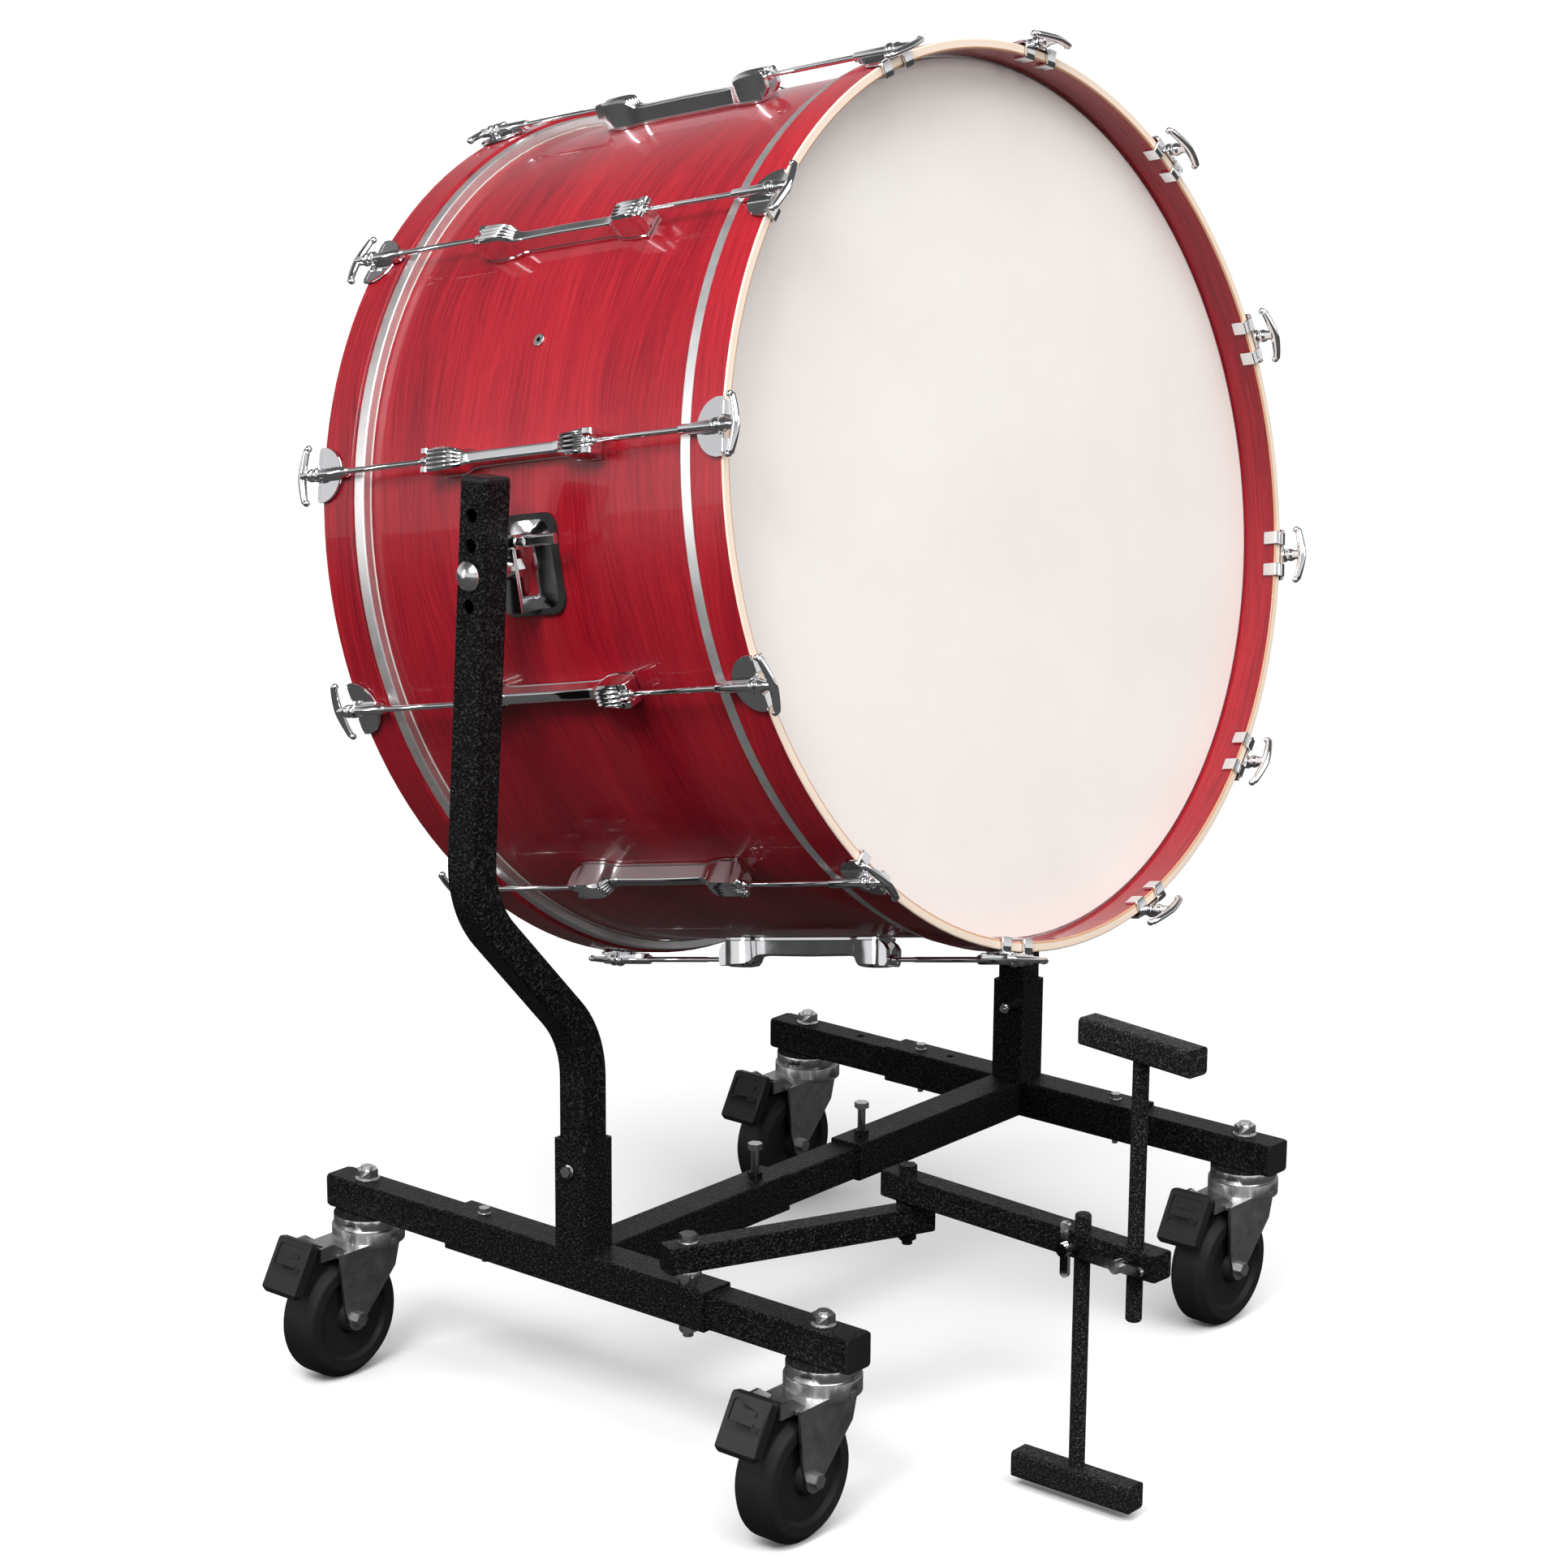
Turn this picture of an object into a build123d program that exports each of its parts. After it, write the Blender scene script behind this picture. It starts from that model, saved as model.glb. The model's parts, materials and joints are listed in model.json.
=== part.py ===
"""Concert bass drum on a tilting, wheeled stand with two foot rests.

Frame: origin on the floor under the middle of the whole outline, X across the stand along the tilt
axis, Y from the player's head (-Y) to the far head (+Y), Z up. Millimetres.
"""

import os
from math import cos, radians, sin, sqrt, tan

from build123d import *

# ---------------------------------------------------------------- driving dimensions
pivot_y = 109.67                # tilt axis, behind the middle of the whole outline
pivot_z = 850.5                 # tilt axis above the floor
tilt = 11.0                     # how far the playing head leans up
axis_drop = 8.8                 # drum axis below the tilt axis, so the drum hangs steady

shell_radius = 406.4            # 32 in shell
shell_wall = 8.0
shell_half = 211.5
film = 0.8
hoop_radius = 420.0
hoop_inner = 410.5
hoop_back = 210.2
hoop_front = 248.3
flesh_inner = 408.0
flesh_outer = 417.3
flesh_back = 197.0
flesh_front = 210.0

lug_count = 12
first_lug = 15.0
rod_circle = 427.4
rod_radius = 2.6
running = 0.06                  # radial play of a turning shaft
gap = 0.3                       # gap between neighbours that move

lug_half = 106.0
lug_waist_half = 56.0
lug_flare_width = 24.0
lug_waist_width = 11.0
lug_base = 406.7
lug_top = 434.5
lug_waist_top = 424.0

rail_x = 341.5                  # middle of each side rail
rail_z = 173.5
leg_size = 33.0                 # telescoping tube of the rails and the cross beam
leg_wall = 2.5
sleeve_size = 39.0
sleeve_wall = 2.8
tube_corner = 2.0
welded_size = 38.7              # tubes welded to a rail sit just inside its faces
weld_depth = 2.5                # how far a welded tube runs into the wall it meets
rail_sleeve_half = 165.0
leg_inner_end = 40.0
leg_outer_end = 329.5
cap_thickness = 2.5
extension_bolt_y = 130.0
left_sleeve_end = -62.0
right_sleeve_end = 50.0
left_clamp_x = -93.0
right_clamp_x = 75.0
sleeve_top = rail_z + sleeve_size / 2
sleeve_bottom = rail_z - sleeve_size / 2
leg_top = rail_z + leg_size / 2
leg_bottom = rail_z - leg_size / 2

socket_top = 300.0
socket_bolt_z = 271.7
upright_size = 32.0
upright_wall = 2.5
upright_foot = 204.0
upright_top = 931.5
bend_low = (rail_x, 398.0)      # where the foot and the slant would meet, (x, z)
bend_high = (486.3, 553.2)      # where the slant and the upper limb would meet
upper_lean = 3.93               # the upper limb leans in towards the drum
bend_radius = 100.0
hole_pitch = 26.5
upright_hole = 6.5

arm_size = 25.4
arm_wall = 2.0
arm_a = (-350.0, -138.0)        # first arm's pivot on the left rail, (x, y from the tilt axis)
arm_b = (-143.0, -230.0)        # pivot between the arms
arm_lead = 3.46                 # second arm turns this far out from straight ahead
arm_one_z = 207.1               # underside of the first arm
arm_two_z = 239.5               # underside of the second arm
arm_tail = 21.0
arm_two_length = 298.0
arm_bolt_radius = 5.0
low_rod_reach = 210.0
high_rod_reach = 270.0
rest_rod_radius = 7.5
rest_rod_length = 250.0
rest_pad_length = 130.0
low_pad_z = 9.4                 # underside of the low pad
high_pad_z = 438.0              # underside of the high pad
high_pad_turn = 8.0

caster_y = 291.0
wheel_radius = 62.5
wheel_width = 42.0
trail = 42.0
axle_radius = 5.0
fork_gap = 48.0
fork_plate = 3.0
race_radius = 36.0
king_pin = 8.0


# ---------------------------------------------------------------- helpers
def at(x, y, z, normal=(0, 0, 1), across=(1, 0, 0)):
    """A plane at a point given from the tilt axis in Y."""
    return Plane(origin=(x, pivot_y + y, z), x_dir=across, z_dir=normal)


def square_tube(plane, size, wall, length):
    """A hollow square tube that runs from the plane along its normal."""
    with BuildSketch(plane) as profile:
        RectangleRounded(size, size, tube_corner)
        inner = size - 2 * wall
        RectangleRounded(inner, inner, tube_corner / 2, mode=Mode.SUBTRACT)
    extrude(profile.sketch, amount=length)


def square_block(plane, size, length, corner=tube_corner, mode=Mode.ADD):
    """A solid square bar, or a square hole."""
    with BuildSketch(plane) as profile:
        RectangleRounded(size, size, corner)
    extrude(profile.sketch, amount=length, mode=mode)


def disc(plane, radius, length, mode=Mode.ADD):
    """A cylinder from the plane along its normal."""
    with BuildSketch(plane) as profile:
        Circle(radius)
    extrude(profile.sketch, amount=length, mode=mode)


def drill(plane, radius, length):
    """A round hole from the plane along its normal."""
    disc(plane, radius, length, Mode.SUBTRACT)


def hex_prism(plane, across_flats, length):
    """A nut or a bolt head."""
    with BuildSketch(plane) as profile:
        RegularPolygon(across_flats / 2, 6, major_radius=False)
    extrude(profile.sketch, amount=length)


def hex_bolt(plane, shank, grip, across_flats, tail=6.0):
    """A bolt seated on the plane, its head along the normal and a nut at the far end of its grip."""
    head = across_flats * 0.5
    below = plane.offset(-grip)
    disc(plane, across_flats * 0.62, 1.2)
    hex_prism(plane.offset(1.2), across_flats, head)
    disc(plane.offset(1.2), shank, -grip - tail - head)
    hex_prism(below, across_flats, -head)


def save(part, name):
    """Label one finished piece and write it."""
    part.label = name
    export_step(part, f"parts/{name}.step")


# ---------------------------------------------------------------- the drum's own frame
# Local X runs across, Y up the head and Z out through the playing head.
drum_normal = Vector(0, -cos(radians(tilt)), sin(radians(tilt)))
drum_up = Vector(0, sin(radians(tilt)), cos(radians(tilt)))
pivot_point = Vector(0, pivot_y, pivot_z)
drum = Plane(origin=pivot_point - drum_up * axis_drop, x_dir=(1, 0, 0), z_dir=drum_normal)
drum_axis = Axis(drum.origin, drum.z_dir)
# Sketches on this plane have the radius along x and the drum's axis along y.
section = Plane(origin=drum.origin, x_dir=drum.x_dir, z_dir=drum.y_dir * -1)
lug_angles = [first_lug + 360.0 / lug_count * i for i in range(lug_count)]


def front_place(angle):
    """Where a piece of the playing side goes: x out from the axis, z towards the playing head."""
    return drum.location * Location((0, 0, 0), (0, 0, angle))


def back_place(angle):
    """The same on the far side, with z towards the far head."""
    return front_place(angle) * Location((0, 0, 0), (180, 0, 0))


def make_ring(points, corner):
    """A ring about the drum's axis from the corners of its section."""
    with BuildPart() as ring:
        with BuildSketch(section) as profile:
            with BuildLine():
                Polyline(*points, close=True)
            make_face()
            if corner:
                fillet(profile.vertices(), corner)
        revolve(axis=drum_axis)
    return ring.part


def rectangle_points(inner, outer, low, high):
    return [(inner, low), (outer, low), (outer, high), (inner, high)]


# ---------------------------------------------------------------- the pieces of the drum
def make_shell():
    with BuildPart() as shell:
        disc(drum.offset(-shell_half), shell_radius, 2 * shell_half)
        drill(drum.offset(-shell_half), shell_radius - shell_wall, 2 * shell_half)
        vent = drum.location * Location((0, 0, 0), (0, 0, 150.0)) * Location((0, 0, 0), (0, 90, 0))
        drill(Plane(vent).offset(shell_radius - 2 * shell_wall), 3.1, 3 * shell_wall)
    return shell.part


def make_hoop(side):
    low, high = sorted((side * hoop_back, side * hoop_front))
    return make_ring(rectangle_points(hoop_inner, hoop_radius, low, high), 1.6)


def make_head(side):
    """A film cup: the flat head and the skirt that its flesh hoop pulls down outside the shell."""
    flat = side * (shell_half + gap)
    face = side * (shell_half + gap + film)
    lip = side * flesh_back
    outer = shell_radius + gap + film
    inner = shell_radius + gap
    with BuildPart() as head:
        with BuildSketch(section):
            with BuildLine():
                Polyline(
                    (0, flat), (inner, flat), (inner, lip), (outer, lip), (outer, face), (0, face), close=True
                )
            make_face()
        revolve(axis=drum_axis)
    return head.part


def make_flesh_hoops():
    with BuildPart() as hoops:
        for side in (-1, 1):
            low, high = sorted((side * flesh_back, side * flesh_front))
            with BuildSketch(section) as profile:
                with BuildLine():
                    Polyline(*rectangle_points(flesh_inner, flesh_outer, low, high), close=True)
                make_face()
                fillet(profile.vertices(), 1.5)
            revolve(axis=drum_axis)
    return hoops.part


def make_lug():
    """One double-ended lug casing: x out from the drum, z along it."""
    slot = 4.4
    waist = lug_waist_width / 2
    flare = lug_flare_width / 2
    shoulder = lug_waist_half + 18
    with BuildPart() as lug:
        # The plan is a waist that flares to a blunt end, drawn one half at a time.
        for scale in (-1, 1):
            with BuildSketch(Plane.YZ.offset(lug_base)):
                with BuildLine():
                    Line((-waist, 0), (-waist, scale * lug_waist_half))
                    Spline(
                        (-waist, scale * lug_waist_half),
                        (-flare, scale * shoulder),
                        tangents=((0, scale), (0, scale)),
                    )
                    Polyline(
                        (-flare, scale * shoulder),
                        (-flare, scale * lug_half),
                        (flare, scale * lug_half),
                        (flare, scale * shoulder),
                    )
                    Spline(
                        (flare, scale * shoulder),
                        (waist, scale * lug_waist_half),
                        tangents=((0, -scale), (0, -scale)),
                    )
                    Polyline((waist, scale * lug_waist_half), (waist, 0), (-waist, 0))
                make_face()
            extrude(amount=lug_top - lug_base)
        # The casing dips between its ends, where the waist lies lower.
        with BuildSketch(Plane.XZ):
            with BuildLine():
                Polyline(
                    (lug_waist_top, -lug_waist_half),
                    (lug_waist_top, lug_waist_half),
                    (lug_top, lug_waist_half + 16),
                    (lug_top + 5, lug_waist_half + 16),
                    (lug_top + 5, -lug_waist_half - 16),
                    (lug_top, -lug_waist_half - 16),
                    close=True,
                )
            make_face()
        extrude(amount=lug_flare_width, both=True, mode=Mode.SUBTRACT)
        # Five soft ribs on each blunt end, parted by four flutes.
        for scale in (-1, 1):
            for flute in (-7.5, -2.6, 2.6, 7.5):
                start = Plane(origin=(lug_top + 0.6, flute, scale * (lug_half - 11)), z_dir=(0, 0, -scale))
                drill(start, 1.4, 30)
        # Each end opens round its nut, with an ear on either side.
        for scale in (-1, 1):
            end = Plane(origin=(rod_circle, 0, scale * lug_half), z_dir=(0, 0, -scale))
            drill(end, 5.2, 30)
            with BuildSketch(end):
                Rectangle(40, 2 * slot, align=(Align.MIN, Align.CENTER))
            extrude(amount=8, mode=Mode.SUBTRACT)
            with BuildSketch(end):
                Rectangle(40, 2 * slot, align=(Align.MAX, Align.CENTER))
                Rectangle(80, 80, align=(Align.MAX, Align.CENTER), mode=Mode.INTERSECT)
            extrude(amount=8, mode=Mode.SUBTRACT)
    return lug.part


def make_swivel_nut():
    """The threaded barrel that a tension rod pulls on, inside the end of a lug."""
    with BuildPart() as nut:
        disc(Plane(origin=(rod_circle, 0, lug_half - 29)), 5.0, 17)
        drill(Plane(origin=(rod_circle, 0, lug_half - 29)), rod_radius + running, 17)
    return nut.part


def make_claw():
    """A claw hook: a D plate on the hoop, a barrel for its rod and two fingers over the hoop's edge."""
    plate_in = hoop_radius + 0.8
    plate_out = plate_in + 3.0
    seat = hoop_front + 0.2
    seat_out = seat + 2.8
    finger_in = 406.9
    with BuildPart() as claw:
        with BuildSketch(Plane.YZ.offset(plate_in)):
            with BuildLine():
                ThreePointArc((-25.5, seat_out), (0, 222.5), (25.5, seat_out))
                Line((25.5, seat_out), (-25.5, seat_out))
            make_face()
        extrude(amount=plate_out - plate_in)
        for side in (-16.0, 16.0):
            with BuildSketch(Plane.XZ.offset(-side)):
                with BuildLine():
                    Polyline(
                        (plate_out, seat - 1),
                        (plate_out, seat_out),
                        (finger_in, seat_out),
                        (finger_in, seat - 12),
                        (finger_in + 2.9, seat - 12),
                        (finger_in + 2.9, seat),
                        (plate_in, seat),
                        (plate_in, seat - 1),
                        close=True,
                    )
                make_face()
            extrude(amount=6.5, both=True)
        disc(Plane(origin=(rod_circle, 0, 207.0)), 4.6, 33)
        disc(Plane(origin=(rod_circle, 0, 236.0)), 7.0, seat_out - 236.0)
        drill(Plane(origin=(rod_circle, 0, 200.0)), rod_radius + running, 60)
        tips = claw.edges().filter_by(Axis.X).group_by(Axis.Z)[0]
        fillet(tips.sort_by(Axis.X)[:4], 4.5)
    return claw.part


def make_rod():
    """One tension rod with its crescent T handle: x out from the drum, z out along the rod."""
    collar = hoop_front + 3.3
    root = lug_half - 28
    half_span = 25.0
    with BuildPart() as rod:
        disc(Plane(origin=(rod_circle, 0, root)), rod_radius, collar + 6 - root)
        disc(Plane(origin=(rod_circle, 0, collar)), 6.2, 1.6)
        disc(Plane(origin=(rod_circle, 0, collar)), 4.6, 16)
        with BuildSketch(Plane.YZ.offset(rod_circle - 3.2)):
            with BuildLine():
                ThreePointArc((-half_span - 1, collar + 12), (0, collar + 22), (half_span + 1, collar + 12))
                Line((half_span + 1, collar + 12), (half_span, collar + 9))
                ThreePointArc((half_span, collar + 9), (0, collar + 13), (-half_span, collar + 9))
                Line((-half_span, collar + 9), (-half_span - 1, collar + 12))
            make_face()
        extrude(amount=6.4)
        for side in (-1, 1):
            tip = Plane(origin=(rod_circle - 3.6, side * half_span, collar + 10.3), z_dir=(1, 0, 0))
            disc(tip, 3.6, 7.2)
    return rod.part


def make_ring_of(shape, places):
    """One node with a copy of a shape at each place."""
    with BuildPart() as group:
        with Locations(*places):
            add(shape)
    return group.part


bracket_reach = 434.0           # outer face of the web that the pivot bolt goes through
gasket_width = 78.0
gasket_height = 90.0
gasket_top = 408.8
frame_width = 66.0              # foot of the sloping frame
frame_height = 80.0
frame_top = 413.5
window_width = 27.0
window_height = 54.0
window_land = 3.0               # flat rim left round the window
web_thickness = 4.0
web_width = 18.0
web_foot = 12.0
key_height = 23.0
key_start = 6.0


def make_brackets():
    """Pivot brackets: on each side of the shell a framed window, a bridge for the pivot and a locking key."""
    with BuildPart() as brackets:
        for side in (-1, 1):
            out = Vector(side, 0, 0)

            def face_on(distance):
                return Plane(origin=pivot_point + out * distance, x_dir=drum_normal, z_dir=out)

            with BuildSketch(face_on(shell_radius - 8)):
                RectangleRounded(gasket_width, gasket_height, 15)
            extrude(amount=gasket_top - shell_radius + 8)
            with BuildSketch(face_on(gasket_top)):
                RectangleRounded(frame_width, frame_height, 12)
            with BuildSketch(face_on(frame_top)):
                RectangleRounded(window_width + 2 * window_land, window_height + 2 * window_land, 7)
            loft()
            # The bridge stands over the window and meets the frame above and below it.
            with BuildSketch(face_on(gasket_top)):
                with GridLocations(0, frame_height - web_foot, 1, 2):
                    Rectangle(web_width, web_foot)
            extrude(amount=bracket_reach - gasket_top)
            with BuildSketch(face_on(bracket_reach - web_thickness)):
                RectangleRounded(web_width, frame_height, 3)
            extrude(amount=web_thickness)
            with BuildSketch(face_on(shell_radius - 10)):
                RectangleRounded(window_width, window_height, 5)
            extrude(amount=frame_top - shell_radius + 11, mode=Mode.SUBTRACT)
            # The key's boss stands on the bridge and carries a flat paddle that points to the player.
            key_at = pivot_point + out * (bracket_reach + 3.0) + drum_up * key_height
            boss = Plane(origin=key_at + drum_normal * key_start, x_dir=out, z_dir=drum_normal)
            disc(boss, 6.5, 15)
            disc(boss, 4.5, 24)
            with BuildSketch(boss.offset(22)):
                RectangleRounded(5, 10, 2.0)
            extrude(amount=38)
        disc(drum.offset(-60), shell_radius + 0.15, 120, Mode.SUBTRACT)
        drill(Plane(origin=pivot_point - Vector(500, 0, 0), z_dir=(1, 0, 0)), 6 + running, 1000)
    return brackets.part


def make_vent():
    """The flanged eyelet of the shell's vent hole."""
    vent = drum.location * Location((0, 0, 0), (0, 0, 150.0)) * Location((0, 0, 0), (0, 90, 0))
    mouth = Plane(vent).offset(shell_radius + 0.1)
    with BuildPart() as eyelet:
        disc(mouth, 6.0, 1.6)
        disc(mouth, 3.0, -shell_wall - 1)
        drill(mouth.offset(-shell_wall - 2), 2.2, shell_wall + 6)
        fillet(eyelet.edges().filter_by(GeomType.CIRCLE).sort_by(SortBy.RADIUS)[-1], 0.7)
    return eyelet.part


# ---------------------------------------------------------------- the stand
def rail_plane(side, y, direction):
    return at(side * rail_x, y, rail_z, normal=(0, direction, 0))


def drill_frame(side):
    """The bolt holes that the sleeves, the legs and the cross tube share."""
    for y in (-extension_bolt_y, extension_bolt_y):
        if side > 0 or y > 0:
            drill(at(side * rail_x, y, sleeve_bottom - 5), 3.3, sleeve_size + 10)
    if side < 0:
        drill(at(*arm_a, sleeve_bottom - 5), arm_bolt_radius + 0.3, sleeve_size + 10)


def make_base_frame(side):
    """A side rail's sleeve with the upright's socket and half of the cross beam welded on."""
    rail = rail_plane(side, -rail_sleeve_half, 1)
    socket = at(side * rail_x, 0, sleeve_top)
    inner_face = rail_x - sleeve_size / 2
    beam = at(side * inner_face, 0, rail_z, normal=(-side, 0, 0), across=(0, 1, 0))
    beam_length = inner_face - (-left_sleeve_end if side < 0 else right_sleeve_end)
    bore = sleeve_size - 2 * sleeve_wall
    with BuildPart() as frame:
        square_block(rail, sleeve_size, 2 * rail_sleeve_half)
        square_block(socket.offset(-weld_depth), welded_size, socket_top - sleeve_top + weld_depth)
        square_block(beam.offset(-weld_depth), welded_size, beam_length + weld_depth)
        square_block(rail, bore, 2 * rail_sleeve_half, mode=Mode.SUBTRACT)
        square_block(socket, bore, socket_top - sleeve_top, mode=Mode.SUBTRACT)
        square_block(beam, bore, beam_length, mode=Mode.SUBTRACT)
        clamp_x = left_clamp_x if side < 0 else right_clamp_x
        hex_prism(at(clamp_x, 0, sleeve_top - 0.5), 13, 6.5)
        drill(at(clamp_x, 0, leg_top + 0.1), 4.2, 20)
        drill_frame(side)
        if side > 0:
            drill(at(rail_x, 90, sleeve_top - 6), 4, 12)
        drill(at(side * (rail_x - 40), 0, socket_bolt_z, normal=(side, 0, 0), across=(0, 1, 0)), 3.3, 80)
    return frame.part


def make_cross_tube():
    reach = rail_x - sleeve_size / 2 - 30
    with BuildPart() as tube:
        start = at(-reach, 0, rail_z, normal=(1, 0, 0), across=(0, 1, 0))
        square_tube(start, leg_size, leg_wall, 2 * reach)
    return tube.part


def make_legs():
    """The four telescoping legs that carry the casters."""
    with BuildPart() as legs:
        for side in (-1, 1):
            for end in (-1, 1):
                start = at(side * rail_x, end * leg_inner_end, rail_z, normal=(0, end, 0))
                square_tube(start, leg_size, leg_wall, leg_outer_end - leg_inner_end)
                drill(at(side * rail_x, end * caster_y, leg_bottom - 5), 6.2, leg_size + 10)
            drill_frame(side)
        drill(at(rail_x, 215, leg_top - 6), 4, 12)
    return legs.part


def upright_path(side):
    """Middle line of an upright: socket, slant outwards, then the limb that leans in to the drum."""
    top_x = bend_high[0] - (upright_top - bend_high[1]) * tan(radians(upper_lean))
    return [
        (side * bend_low[0], upright_foot),
        (side * bend_low[0], bend_low[1]),
        (side * bend_high[0], bend_high[1]),
        (side * top_x, upright_top),
    ]


def make_upright(side):
    frame = Plane(origin=(0, pivot_y, 0), x_dir=(1, 0, 0), z_dir=(0, -1, 0))
    foot = at(side * rail_x, 0, upright_foot)
    inner = upright_size - 2 * upright_wall
    with BuildPart() as upright:
        with BuildLine(frame) as path:
            FilletPolyline(*upright_path(side), radius=bend_radius)
        with BuildSketch(foot):
            RectangleRounded(upright_size, upright_size, 3)
            RectangleRounded(inner, inner, 1.5, mode=Mode.SUBTRACT)
        sweep(path=path.wires()[0])
        for step in (-1, 0, 1, 2):
            z = pivot_z + step * hole_pitch
            drill(at(side * (rail_x + 60), 0, z, normal=(side, 0, 0), across=(0, 1, 0)), upright_hole, 120)
        drill(at(side * (rail_x - 40), 0, socket_bolt_z, normal=(side, 0, 0), across=(0, 1, 0)), 3.3, 80)
    return upright.part


def upright_face(z, outward):
    """Distance from the middle to the outer (1) or inner (-1) face of the leaning limb at a height."""
    lean = radians(upper_lean)
    middle = bend_high[0] - (z - bend_high[1]) * tan(lean)
    return middle + outward * upright_size / 2 / cos(lean)


def make_end_caps():
    """Plastic plugs in the open ends of the legs and the uprights."""
    plug = leg_size - 2 * leg_wall - 0.4
    with BuildPart() as caps:
        for side in (-1, 1):
            for end in (-1, 1):
                mouth = at(side * rail_x, end * leg_outer_end, rail_z, normal=(0, end, 0))
                square_block(mouth, leg_size, cap_thickness, 4)
                square_block(mouth, plug, -12)
            top = upright_path(side)[-1]
            lean = Vector(-side * sin(radians(upper_lean)), 0, cos(radians(upper_lean)))
            mouth = Plane(origin=(top[0], pivot_y, top[1]), x_dir=(0, 1, 0), z_dir=lean)
            square_block(mouth, upright_size, 5, 4)
            square_block(mouth, upright_size - 2 * upright_wall - 0.4, -12)
            own = caps.faces().filter_by(lambda f: f.center().X * side > 0)
            fillet(own.sort_by(Axis.Z)[-1].edges(), 3)
    return caps.part


def make_bolts():
    """Bolts of the frame: leg bolts, socket bolts, clamp screws, pivot bolts and the casters' stems."""
    with BuildPart() as bolts:
        for side in (-1, 1):
            for end in (-1, 1):
                if side > 0 or end > 0:
                    seat = at(side * rail_x, end * extension_bolt_y, sleeve_top)
                    hex_bolt(seat, 3.0, sleeve_size, 10)
                caster = at(side * rail_x, end * caster_y, leg_top)
                disc(caster, 12, 2)
                hex_prism(caster.offset(2), 19, 9)
                disc(caster.offset(14), 6, -14 - leg_size)
                disc(caster.offset(-leg_size), 34, -11.7)
                disc(caster.offset(-leg_size - 11.7), king_pin, -22)
            out = (side, 0, 0)
            face = rail_x + sleeve_size / 2
            hex_bolt(at(side * face, 0, socket_bolt_z, normal=out, across=(0, 1, 0)), 3.0, sleeve_size, 10)
            clamp_x = left_clamp_x if side < 0 else right_clamp_x
            hex_prism(at(clamp_x, 0, 222.5), 13, 6)
            disc(at(clamp_x, 0, leg_top + 0.05), 4, 222.5 - leg_top)
            make_pivot_bolt(side)
        hex_bolt(at(*arm_a, arm_one_z + arm_size), arm_bolt_radius, arm_one_z + arm_size - sleeve_bottom, 15)
        disc(at(*arm_a, sleeve_top), 9, 7)
        disc(at(*arm_a, sleeve_top + 7), 12.5, arm_one_z - sleeve_top - 7 - 0.1)
    return bolts.part


def make_pivot_bolt(side):
    """The domed bolt that the drum tilts on, with its spacer and nut."""
    out = (side, 0, 0)
    outer_face = upright_face(pivot_z, 1) + 1.2
    inner_face = upright_face(pivot_z, -1) - 1.2
    head = at(side * outer_face, 0, pivot_z, normal=out, across=(0, 1, 0))
    disc(head, 13.5, 1.5)
    dome_radius = 17.0
    sag = dome_radius - sqrt(dome_radius**2 - 13.5**2)
    foot = side * (outer_face + 1.5)
    crest = side * (outer_face + 1.5 + sag)
    with BuildSketch(at(0, 0, pivot_z, normal=(0, -1, 0))) as profile:
        with BuildLine():
            Line((foot, 0), (foot, 13.5))
            RadiusArc((foot, 13.5), (crest, 0), side * dome_radius)
            Line((crest, 0), (foot, 0))
        make_face()
    revolve(profile.sketch, axis=Axis((0, pivot_y, pivot_z), (1, 0, 0)))
    disc(head, 6, -(outer_face - 416))
    spacer = at(side * (bracket_reach + gap), 0, pivot_z, normal=out, across=(0, 1, 0))
    disc(spacer, 10, inner_face - bracket_reach - gap)
    nut = at(side * (bracket_reach - web_thickness - gap), 0, pivot_z, normal=(-side, 0, 0), across=(0, 1, 0))
    hex_prism(nut, 17, 8)


# ---------------------------------------------------------------- foot rests and their arms
arm_one_run = Vector(arm_b[0] - arm_a[0], arm_b[1] - arm_a[1], 0)
arm_two_run = Vector(-sin(radians(arm_lead)), -cos(radians(arm_lead)), 0)
arm_two_side = Vector(-cos(radians(arm_lead)), sin(radians(arm_lead)), 0)
arm_b_point = Vector(arm_b[0], pivot_y + arm_b[1], 0)


def arm_two_point(reach, z):
    return arm_b_point + arm_two_run * reach + Vector(0, 0, z)


def make_arm_one():
    """The first arm swings on the left rail and carries the second arm's pivot bolt."""
    run = arm_one_run.normalized()
    start = Vector(arm_a[0], pivot_y + arm_a[1], arm_one_z + arm_size / 2) - run * arm_tail
    length = arm_one_run.length + 2 * arm_tail
    top = arm_one_z + arm_size
    with BuildPart() as arm:
        tube = Plane(origin=start, x_dir=(0, 0, 1), z_dir=run)
        square_tube(tube, arm_size, arm_wall, length)
        square_block(tube.offset(-2), arm_size, 10, 3)
        square_block(tube.offset(length + 2), arm_size, -10, 3)
        drill(at(*arm_a, arm_one_z - 2), arm_bolt_radius + running, arm_size + 4)
        pivot = at(*arm_b, top)
        disc(pivot, 11, arm_two_z - top - 0.1)
        pin_seat = at(*arm_b, arm_two_z + arm_size + 0.1)
        hex_bolt(pin_seat, arm_bolt_radius, arm_two_z + arm_size - arm_one_z, 15)
    return arm.part


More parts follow.
